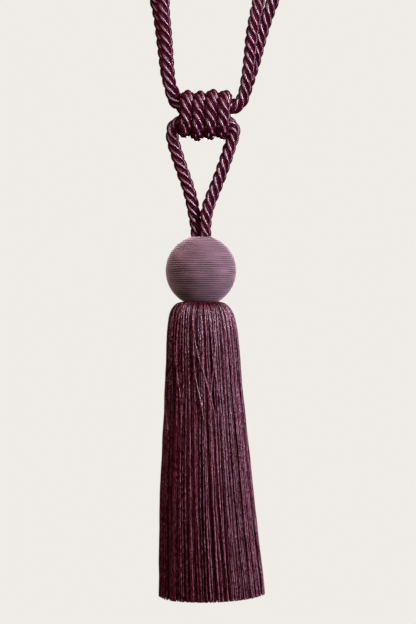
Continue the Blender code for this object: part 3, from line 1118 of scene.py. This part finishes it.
def skirt_yarn(name, shine):
    """Loose viscose yarn, a tone of wine for each one, with glints of the given shine."""
    material, tree = new_material(name)
    place = add_node(tree, "ShaderNodeUVMap", uv_map="UVMap").outputs["UV"]
    tone = add_node(tree, "ShaderNodeAttribute", attribute_name="tone").outputs["Fac"]
    colour = add_node(
        tree,
        "ShaderNodeMix",
        {MIX_FACTOR: tone, MIX_A: linear("#240207"), MIX_B: linear("#400618")},
        data_type="RGBA",
    )
    stretched = add_node(
        tree,
        "ShaderNodeMapping",
        {"Vector": place, "Scale": (1 / GLINT_RUN, 1 / GLINT_WIDTH, 1.0)},
    )
    glints = add_node(
        tree,
        "ShaderNodeTexNoise",
        {"Vector": stretched.outputs["Vector"], "Scale": 1.0, "Detail": 1.0},
        noise_dimensions="2D",
    )
    relief = add_node(
        tree,
        "ShaderNodeBump",
        {"Height": glints.outputs["Fac"], "Strength": 1.0, "Distance": 0.5 * MM},
    )
    dullness = add_node(
        tree,
        "ShaderNodeMapRange",
        {
            "Value": glints.outputs["Fac"],
            "From Min": 0.38,
            "From Max": 0.62,
            "To Min": 0.55,
            "To Max": 0.24,
        },
    )
    shader = add_node(
        tree,
        "ShaderNodeBsdfPrincipled",
        {
            "Base Color": colour.outputs[MIX_RESULT],
            "Roughness": dullness.outputs["Result"],
            "IOR": 1.53,
            "Specular IOR Level": shine,
            "Specular Tint": linear("#f8d9e8"),
            "Normal": relief.outputs["Normal"],
        },
    )
    add_node(tree, "ShaderNodeOutputMaterial", {"Surface": shader.outputs["BSDF"]})
    return material


outer_finish = skirt_yarn("satin_viscose_skirt_yarn", OUTER_SHINE)
# a copy of the yarn dulled as painted shade, for the deeper yarns and the head
shaded_inner_finish = skirt_yarn("painted_shade_viscose_skirt_yarn", SHADED_INNER_SHINE)
for piece in (head, *yarn_layers):
    outside = piece in (yarn_layers[0], yarn_layers[-1])
    piece.data.materials.append(outer_finish if outside else shaded_inner_finish)
    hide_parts("skirt")
    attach(piece, "root")
print("finishes:", outer_finish.name, "and", shaded_inner_finish.name)

# %% [markdown]
# ## The studio
#
# The tassel hangs in a plain pale room: a large ball with a flat floor, so that every view has
# the same quiet ground. A painted wall would need lamps of its own to look even. This one glows
# evenly and sends no light onto the tassel, which leaves the lighting to the lamps.

# %% The room
ROOM_RADIUS = 4.2
FLOOR_HEIGHT = -1.25


def pale_room():
    """A glowing ball with a flat floor, which only the camera sees."""
    select_only()
    bpy.ops.mesh.primitive_uv_sphere_add(
        segments=64, ring_count=32, radius=ROOM_RADIUS, location=VIEW_CENTRE
    )
    piece = settle(bpy.context.object, "pale_room")
    for vert in piece.data.vertices:
        vert.co.z = max(vert.co.z, FLOOR_HEIGHT)
    material, tree = new_material("matt_pale_studio_paint")
    glow = add_node(tree, "ShaderNodeEmission", {"Color": linear("#efece7"), "Strength": 1.0})
    add_node(tree, "ShaderNodeOutputMaterial", {"Surface": glow.outputs["Emission"]})
    piece.data.materials.append(material)
    for kind in ("diffuse", "glossy", "transmission", "volume_scatter", "shadow"):
        setattr(piece, f"visible_{kind}", False)
    return piece


room = pale_room()
print(f"room {2 * ROOM_RADIUS} m across, floor {FLOOR_HEIGHT} m")

# %% [markdown]
# ## The lamps
#
# Satin mirrors its lamps as lines, so their places decide how the rope looks. Narrow strips stand
# in a row on the right, from just above the floor to high up and strongest in the middle, and
# each strand shows them as one pale line. A wide soft lamp in front and a long one overhead light
# the shoulder and the top of the ball, a rim lamp on the far right draws a lilac edge, and a thin
# strip at brow height and one on the left keep the left side from going black. A last strip
# stands straight behind. The lamps marked False only fill, from behind, above, below and the
# left, because a broad shine would grey the yarns. Each lamp is given by its two ends, as
# directions from the tassel, since that is how a highlight is moved.

# %% The lamps
def seen_from_tassel(azimuth, elevation, distance):
    """A place at so many degrees to the right of the camera and above the tassel's middle."""
    turn, rise = math.radians(azimuth), math.radians(elevation)
    way = (math.cos(rise) * math.sin(turn), -math.cos(rise) * math.cos(turn), math.sin(rise))
    return VIEW_CENTRE + distance * Vector(way)


# Each row: name, azimuth and elevation in degrees of the lamp's two ends, their distance and the
# lamp's breadth in m, strength in W, colour, and whether it shows as a shine.
LAMPS = (
    ("floor_strip_lamp", (64, -50), (76, -26), 1.1, 0.13, 3.8, "#f8ecff", True),
    ("low_strip_lamp", (78, -24), (72, -6), 1.1, 0.13, 3.6, "#f8ecff", True),
    ("waist_strip_lamp", (68, -5), (54, 8), 1.1, 0.13, 2.0, "#f8ecff", True),
    ("middle_strip_lamp", (50, 11), (48, 40), 1.1, 0.13, 20.5, "#f8ecff", True),
    ("high_strip_lamp", (48, 42), (42, 64), 1.1, 0.13, 8.8, "#f8ecff", True),
    ("front_lamp", (-40, 40), (36, 40), 1.5, 0.8, 10.4, "#fff0f4", True),
    ("top_lamp", (42, 70), (222, 78), 1.1, 0.3, 3.4, "#fff4f6", True),
    ("left_lamp", (-18, 10), (-14, 46), 1.1, 0.2, 2.2, "#ffe6e0", True),
    ("rim_lamp", (96, -4), (96, 36), 1.1, 0.2, 3.0, "#ecd8ff", True),
    ("back_lamp", (150, 24), (210, 24), 1.4, 0.6, 34.0, "#fff0f4", False),
    ("ceiling_lamp", (42, 72), (222, 66), 1.1, 0.3, 1.9, "#fff4f6", False),
    ("under_lamp", (-60, -40), (30, -40), 0.8, 0.5, 1.2, "#ffd8c0", False),
    ("brow_strip_lamp", (-28, 15), (20, 15), 1.1, 0.1, 1.7, "#fff0f4", True),
    ("rear_strip_lamp", (176, -18), (184, 6), 1.3, 0.12, 3.6, "#fff0f4", True),
    ("bounce_lamp", (-120, 38), (-55, 38), 0.6, 0.5, 3.6, "#ffe0c8", False),
)
for name, one_end, other_end, distance, breadth, strength, tint, shines in LAMPS:
    one_place = seen_from_tassel(*one_end, distance)
    other_place = seen_from_tassel(*other_end, distance)
    middle = (one_place + other_place) / 2
    facing = (middle - VIEW_CENTRE).normalized()
    along = other_place - one_place
    along = (along - facing * along.dot(facing)).normalized()
    lamp_data = bpy.data.lights.new(name, "AREA")
    lamp_data.shape = "RECTANGLE"
    lamp_data.size = (other_place - one_place).length
    lamp_data.size_y = breadth
    lamp_data.energy = strength
    lamp_data.color = linear(tint)[:3]
    lamp = bpy.data.objects.new(name, lamp_data)
    bpy.context.collection.objects.link(lamp)
    turned = Matrix((along, facing.cross(along), facing)).transposed()
    lamp.matrix_world = Matrix.Translation(middle) @ turned.to_4x4()
    lamp.visible_camera = False
    lamp.visible_glossy = shines
    print(f"{name}: {lamp_data.size:.2f} m long, {strength} W")

# %% [markdown]
# ## The air of the studio
#
# A weak warm light from everywhere stands for what the walls of a real studio throw back. It
# doesn't show as a shine either. The plain colour transform keeps the pale ground as pale as it
# was painted.

# %% The air of the studio
AIR_STRENGTH = 0.1

world = bpy.data.worlds.new("studio_air")
bpy.context.scene.world = world
world.use_nodes = True
air = world.node_tree.nodes["Background"]
air.inputs["Color"].default_value = linear("#ffc8b8")
air.inputs["Strength"].default_value = AIR_STRENGTH
world.cycles_visibility.glossy = False
bpy.context.scene.view_settings.view_transform = "Standard"
print(f"air: {AIR_STRENGTH} of full strength")
